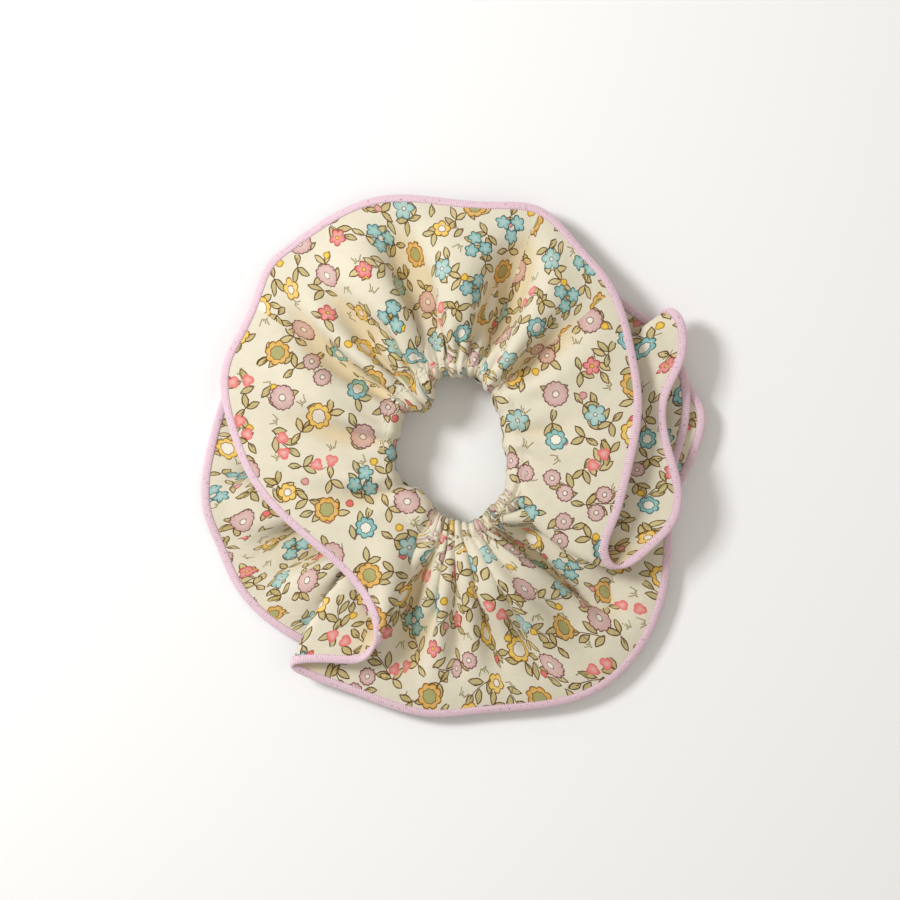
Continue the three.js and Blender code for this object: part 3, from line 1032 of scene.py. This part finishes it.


# Wound or twisted thread: fine strands across the run, with fuzz. Strand is the height; Tint follows
# the strands' height mixed with fuzz, so colour from it is painted shade between the strands.
def makeThreadStrands():
    source, sink = newGroup("threadStrands", {"Place": None, "Pitch": 0.24, "Lean": 0.4}, ("Strand", "Tint"))
    x, y, _ = split(source["Place"])
    strand = abs(calc("SINE", (x + y * source["Lean"]) / source["Pitch"] * math.pi))
    fuzz = noise(source["Place"], 2.5, 3.0)
    feed(sink, (strand * 0.7 + fuzz * 0.5, strand * 0.4 + fuzz * 0.6))


# A material and its Principled shader, with plain values for cloth and thread
def newMaterial(name, roughness, sheen):
    material = bpy.data.materials.new(name)
    material.use_nodes = True
    shader = material.node_tree.nodes["Principled BSDF"]
    shader.inputs["Roughness"].default_value = roughness
    shader.inputs["Sheen Weight"].default_value = sheen
    shader.inputs["Sheen Roughness"].default_value = 0.5
    shader.inputs["Specular IOR Level"].default_value = 0.25
    return material, shader


# The piece's flat places, in millimetres
def flatPlace(material):
    node = material.node_tree.nodes.new("ShaderNodeUVMap")
    node.uv_map = "cloth"
    return scaled(Value(node.outputs[0]), 1000)


# The places in the piece's own space, in millimetres
def ownPlace(material):
    node = material.node_tree.nodes.new("ShaderNodeTexCoord")
    return scaled(Value(node.outputs["Object"]), 1000)


# Feeds a shader its colour, its roughness and a bump, whose distance is in millimetres
def dress(shader, colour, roughness, height, distance, strength):
    bump = shader.id_data.nodes.new("ShaderNodeBump")
    feed([bump.inputs[label] for label in ("Height", "Distance", "Strength")],
         (height, distance * mm, strength))
    feed([shader.inputs[label] for label in ("Base Color", "Roughness", "Normal")],
         (colour, roughness, Value(bump.outputs[0])))


# Painted shade: the warm, darker colour that the print is multiplied towards deep in the folds, in
# place of light that has passed from cloth to cloth there
paintedFoldShadeColour = (0.94, 0.85, 0.69, 1)


# Printed lawn: the print over a cream ground, its ink a little smoother than the cloth, and painted
# warm shade in the folds
def printedLawn(name, strength, tone):
    material, shader = newMaterial(name, 0.85, 0.12)
    place = flatPlace(material)
    weave = useGroup("lawnWeave", Place=place)
    pattern = useGroup("floralPrint", Place=place)
    fold = material.node_tree.nodes.new("ShaderNodeAttribute")
    fold.attribute_name = "fold"
    # Painted shade: the colour is multiplied towards a warm, darker tone as deep as the point lies in a fold
    paintedFoldShade = blendColour(Value(fold.outputs["Fac"]), (*tone, 1), paintedFoldShadeColour)
    colour = vectorCalc("MULTIPLY", blendColour(strength, inks["ground"], pattern["Color"]), paintedFoldShade)
    colour = scaled(colour, weave["Tint"] * 0.16 + 0.92)
    dress(shader, colour, pattern["Ink"] * -0.08 + 0.88, weave["Height"], 0.05, 0.5)
    return material


# Pink thread of the overlock, with painted shade in the needle's holes, in the gaps between its turns
# and between its strands, and a few dark flecks along its sides
def overlockThread(name):
    material, shader = newMaterial(name, 0.55, 0.25)
    place = flatPlace(material)
    strands = useGroup("threadStrands", Place=place, Pitch=0.24, Lean=0.25)
    x, y, _ = split(place)
    turns = x / overlock["pitch"]
    fromMiddle = abs(y - overlock["round"] / 2)
    off = (calc("FRACT", turns) - 0.5) * overlock["pitch"]
    # Painted shade in the needle's holes
    needleHoleShade = inside(reachOf(off, fromMiddle - 0.95) - 0.17) * 0.9
    fleck = calc("MULTIPLY", noise(place, 1.1, 1.0) - 0.6, 7, clamp=True) * (fromMiddle < 3.2)
    lean = calc("COSINE", y * (2 * math.pi / overlock["round"])) * overlock["slant"]
    # Painted shade in the gaps between the turns of thread
    between = calc("POWER", abs(calc("COSINE", (turns + lean) * math.pi)), 5)
    # Painted shade between the strands of thread, mixed with fuzz
    colour = blendColour(strands["Tint"], seen(229, 194, 210), seen(245, 222, 233))
    colour = blendColour(between * 0.34, colour, seen(192, 144, 170))
    colour = blendColour(noise(place, 0.3, 2.0) * 0.3, colour, seen(228, 194, 200))
    colour = blendColour(most(needleHoleShade, fleck * 0.5), colour, seen(128, 84, 108))
    dress(shader, colour, strands["Tint"] * 0.2 + 0.45, strands["Strand"], 0.08, 0.6)
    return material


# Cream sewing thread, twisted: its strands run slantwise in the object's own space, with painted shade
# between the strands
def sewingThread(name):
    material, shader = newMaterial(name, 0.6, 0.2)
    strands = useGroup("threadStrands", Place=ownPlace(material), Pitch=0.3, Lean=0.8)
    # Painted shade between the strands, mixed with fuzz
    colour = blendColour(strands["Tint"], seen(222, 210, 184), seen(248, 240, 220))
    dress(shader, colour, strands["Tint"] * 0.2 + 0.5, strands["Strand"], 0.04, 0.5)
    return material


# White braided elastic: rubber strands under a fine braid
def braidedElastic(name):
    material, shader = newMaterial(name, 0.7, 0.15)
    braid = useGroup("lawnWeave", Place=ownPlace(material), Yarn=0.7)
    colour = blendColour(braid["Tint"], seen(226, 224, 216), seen(250, 249, 244))
    dress(shader, colour, braid["Tint"] * 0.2 + 0.6, braid["Height"], 0.08, 0.5)
    return material


# The floor's white paper: a very faint mottle
def paperFloor(name):
    material, shader = newMaterial(name, 0.9, 0.0)
    grain = noise(ownPlace(material), 0.4, 3.0)
    colour = blendColour(grain * 0.2, (0.97, 0.98, 0.99, 1), (0.94, 0.95, 0.96, 1))
    feed([shader.inputs["Base Color"]], [colour])
    return material


for makeGroup in (makeScatteredCells, makeFlowerHead, makeLeaf, makeGrassTuft, makeLawnWeave,
                  makeThreadStrands):
    makeGroup()
for sprig, facts in sprigs.items():
    makeSprig(sprig, *facts)
makeFloralPrint()
print("node groups made")

printFront = printedLawn("printed lawn", 1.0, (1.0, 1.0, 1.0))
printBack = printedLawn("printed lawn, wrong side", 0.35, (1.0, 0.99, 0.96))
pinkThread = overlockThread("pink overlock thread")
creamThread = sewingThread("cream sewing thread")
whiteElastic = braidedElastic("white braided elastic")
print("materials made")

guideFront, angleFront, laidFront = guideSurface(frontEdge, ring["front"], creases)
strengthFront = pleatStrength(angleFront) * (1 - 0.97 * laidFront)
front = relaxRuffle(guideFront, pleatSeed(angleFront, strengthFront, 7), strengthFront, strip["lowest"])
print("front ruffle pleated")
guideBack, angleBack, laidBack = guideSurface(backEdge, ring["back"], [])
strengthBack = 0.9 * (1 - laidBack)
back = relaxRuffle(guideBack, pleatSeed(angleBack, strengthBack, 8), strengthBack, strip["lowest"])
print("back ruffle pleated")


# Gives a piece its materials, bakes its place into its mesh and hides the model's parts that it stands for
def finishPiece(piece, materials, slotName, *nodes):
    for material in materials:
        piece.data.materials.append(material)
    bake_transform(piece)
    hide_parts(*nodes)
    return piece


def bothSides(*names):
    return [f"{name}_{side}" for name in names for side in ("left", "right")]


# The sectors of the front ruffle, by its columns' angles, whose cloth is smooth; they end in folds
smoothSectors = ((-389, -313), (-600, -474), (-214, -190))
smoothFront = np.any([(np.degrees(angleFront) > low) & (np.degrees(angleFront) < high)
                      for low, high in smoothSectors], axis=0)
ruffles = (
    ("front", front, angleFront, casing["front"], 0, (41, 13), smoothFront),
    ("back", back, angleBack, casing["back"], 360, (-67, 22), angleBack > 100),
)
plies = (
    ("hair", strip["ply"] + strip["gap"] / 2, strip["gap"] / 2, True),
    ("outer", -strip["gap"] / 2, -strip["ply"] - strip["gap"] / 2, False),
)
for where, grid, angle, seamTurn, outerTurn, jump, smooth in ruffles:
    for ply, high, low, printedUp in plies:
        whole = withCasing(grid, angle, seamTurn, 180 if ply == "hair" else outerTurn)
        shift = printShift(angle, strip["length"], ring["seamTop"], ring["seamLeft"], jump)
        piece = clothPly(f"{where}_ruffle_{ply}_ply", whole, high, low, printedUp, shift, smooth)
        finishPiece(piece, (printFront, printBack), "print",
                    *bothSides(f"{ply}_ply_long", f"{ply}_ply_short"))
    edge = overlockEdge(f"overlock_{where}", grid)
    finishPiece(edge, (pinkThread,), "overlock_thread", *bothSides(f"overlock_{where}"))
print("cloth and overlock made")

finishPiece(elasticBand("elastic_band"), (whiteElastic,), "elastic", *bothSides("elastic"))
finishPiece(lappedEnd("elastic_lap"), (whiteElastic,), "elastic", "elastic_lapped_end")
finishPiece(elasticZigzag("elastic_zigzag"), (creamThread,), "sewing_thread", "elastic_join_stitch")
for where, grid, angle, seamTurn, outerTurn, jump, smooth in ruffles:
    whole = withCasing(grid, angle, seamTurn, 180)
    row = casingRow(f"casing_stitches_{where}", whole, angle, casing["stitch"], casing["thread"])
    finishPiece(row, (creamThread,), "sewing_thread", *bothSides(f"casing_row_{where}"))
both = ((front, angleFront), (back, angleBack))
for ply, offset in (("hair", 0.0), ("outer", -0.02)):
    for place, degrees in (("top", ring["seamTop"]), ("left", ring["seamLeft"])):
        seam = crossSeam(f"{ply}_seam_{place}", both, degrees, offset)
        finishPiece(seam, (creamThread,), "sewing_thread", f"{ply}_ply_seam_{place}")
print("elastic, stitches and seams made")


# A flat square floor, far wider than the view, from its half width in millimetres
def makeFloor(half):
    corners = np.array([(-half, -half, 0), (half, -half, 0), (half, half, 0), (-half, half, 0)])
    floor = newPiece("floor", meshOf("floor", corners, [(0, 1, 2, 3)]))
    floor.data.materials.append(paperFloor("floor paper"))


def makeLight(name, place, power, size, colour):
    data = bpy.data.lights.new(name, "AREA")
    data.energy, data.size, data.color = power, size, colour
    light = bpy.data.objects.new(name, data)
    light.location = place
    light.rotation_euler = (-Vector(place)).to_track_quat("-Z", "Y").to_euler()
    bpy.context.collection.objects.link(light)


studio = {
    "cameraHeight": 0.7646, "cameraPlace": (-0.00045, 0.0018), "lens": 100,
    "sky": (1.0, 0.94, 0.85, 1), "skyPower": 0.46,
    "lights": [("key", (-0.58, 0.3, 0.6), 5.7, 0.22, (0.985, 0.99, 1.0)),
               ("fill", (0.5, -0.1, 0.9), 1.0, 0.9, (1.0, 0.98, 0.95))],
}
makeFloor(3000)
for lightFacts in studio["lights"]:
    makeLight(*lightFacts)
world = bpy.data.worlds.new("studio")
world.use_nodes = True
world.node_tree.nodes["Background"].inputs[0].default_value = studio["sky"]
world.node_tree.nodes["Background"].inputs[1].default_value = studio["skyPower"]
bpy.context.scene.world = world
bpy.context.scene.view_settings.view_transform = "Standard"
cameraData = bpy.data.cameras.new("camera")
cameraData.lens = studio["lens"]
camera = bpy.data.objects.new("camera", cameraData)
camera.location = (*studio["cameraPlace"], studio["cameraHeight"])
bpy.context.collection.objects.link(camera)
bpy.context.scene.camera = camera
print("studio made")

bpy.context.view_layer.update()
